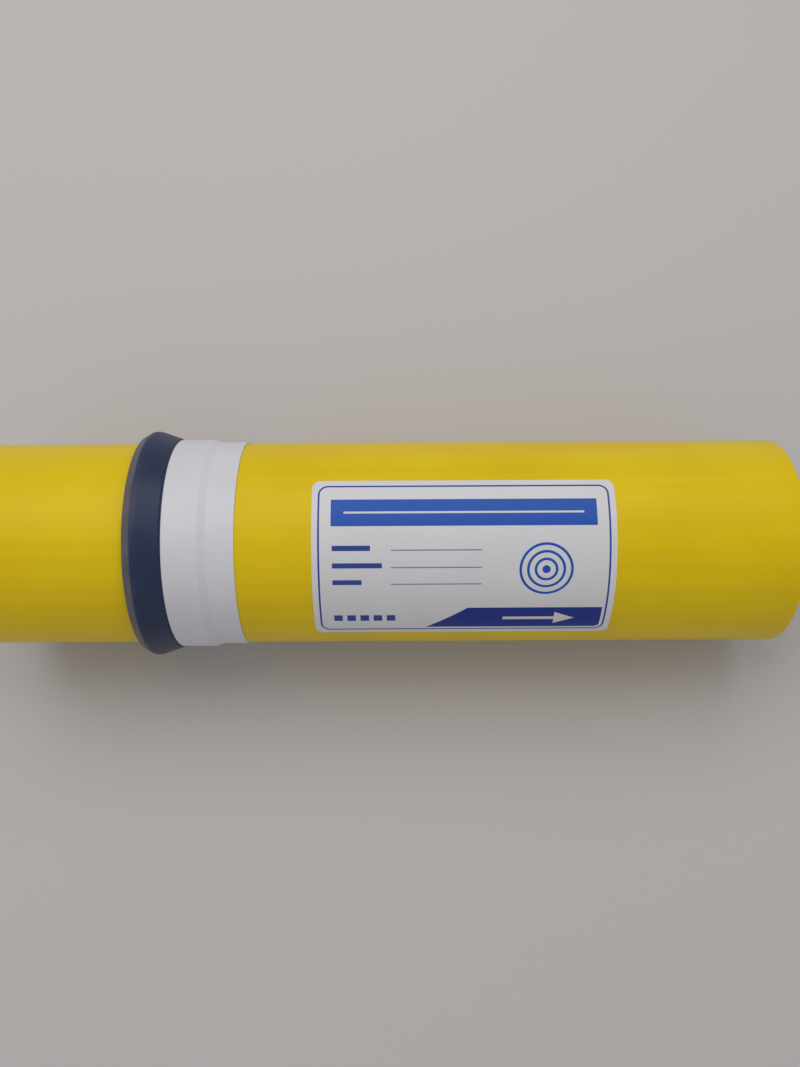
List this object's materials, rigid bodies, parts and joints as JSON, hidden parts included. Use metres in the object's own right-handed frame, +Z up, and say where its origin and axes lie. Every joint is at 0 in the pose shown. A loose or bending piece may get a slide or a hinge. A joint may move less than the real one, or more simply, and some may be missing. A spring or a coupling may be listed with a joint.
{
  "type": "reverse osmosis membrane element",
  "caption": "Spiral-wound membrane element: wrapped roll on a core tube, with a lip seal on a collar, a label and a sealed outlet spigot; parts feed water into permeate and brine.",
  "frame": {"origin": "mid-length on the element's axis", "axes": "+X along the axis from the feed end to the permeate outlet, +Z up with the label above"},
  "size_m": [0.33, 0.084, 0.084],
  "materials": {
    "yellow_wrap": "glossy plastic film, wound in lapped turns",
    "white_plastic": "satin moulded plastic",
    "seal_rubber": "smooth dark rubber",
    "label_print": "coated label with plain colour fields",
    "core_plastic": "satin moulded plastic",
    "membrane_sheet": "glued edges of nonwoven sheet",
    "spacer_net": "cut edges of plastic net"
  },
  "bodies": {
    "root": {"permeate_tube": "core_plastic", "o_ring_inner": "seal_rubber", "o_ring_outer": "seal_rubber", "outer_wrap": "yellow_wrap", "feed_end_wrap": "yellow_wrap", "seal_collar": "white_plastic", "brine_seal": "seal_rubber", "label": "label_print", "membrane_leaf_1": "membrane_sheet", "feed_spacer_1": "spacer_net", "membrane_leaf_2": "membrane_sheet", "feed_spacer_2": "spacer_net", "membrane_leaf_3": "membrane_sheet", "feed_spacer_3": "spacer_net", "membrane_leaf_4": "membrane_sheet", "feed_spacer_4": "spacer_net", "membrane_leaf_5": "membrane_sheet", "feed_spacer_5": "spacer_net", "membrane_leaf_6": "membrane_sheet", "feed_spacer_6": "spacer_net"}
  },
  "joints": []
}
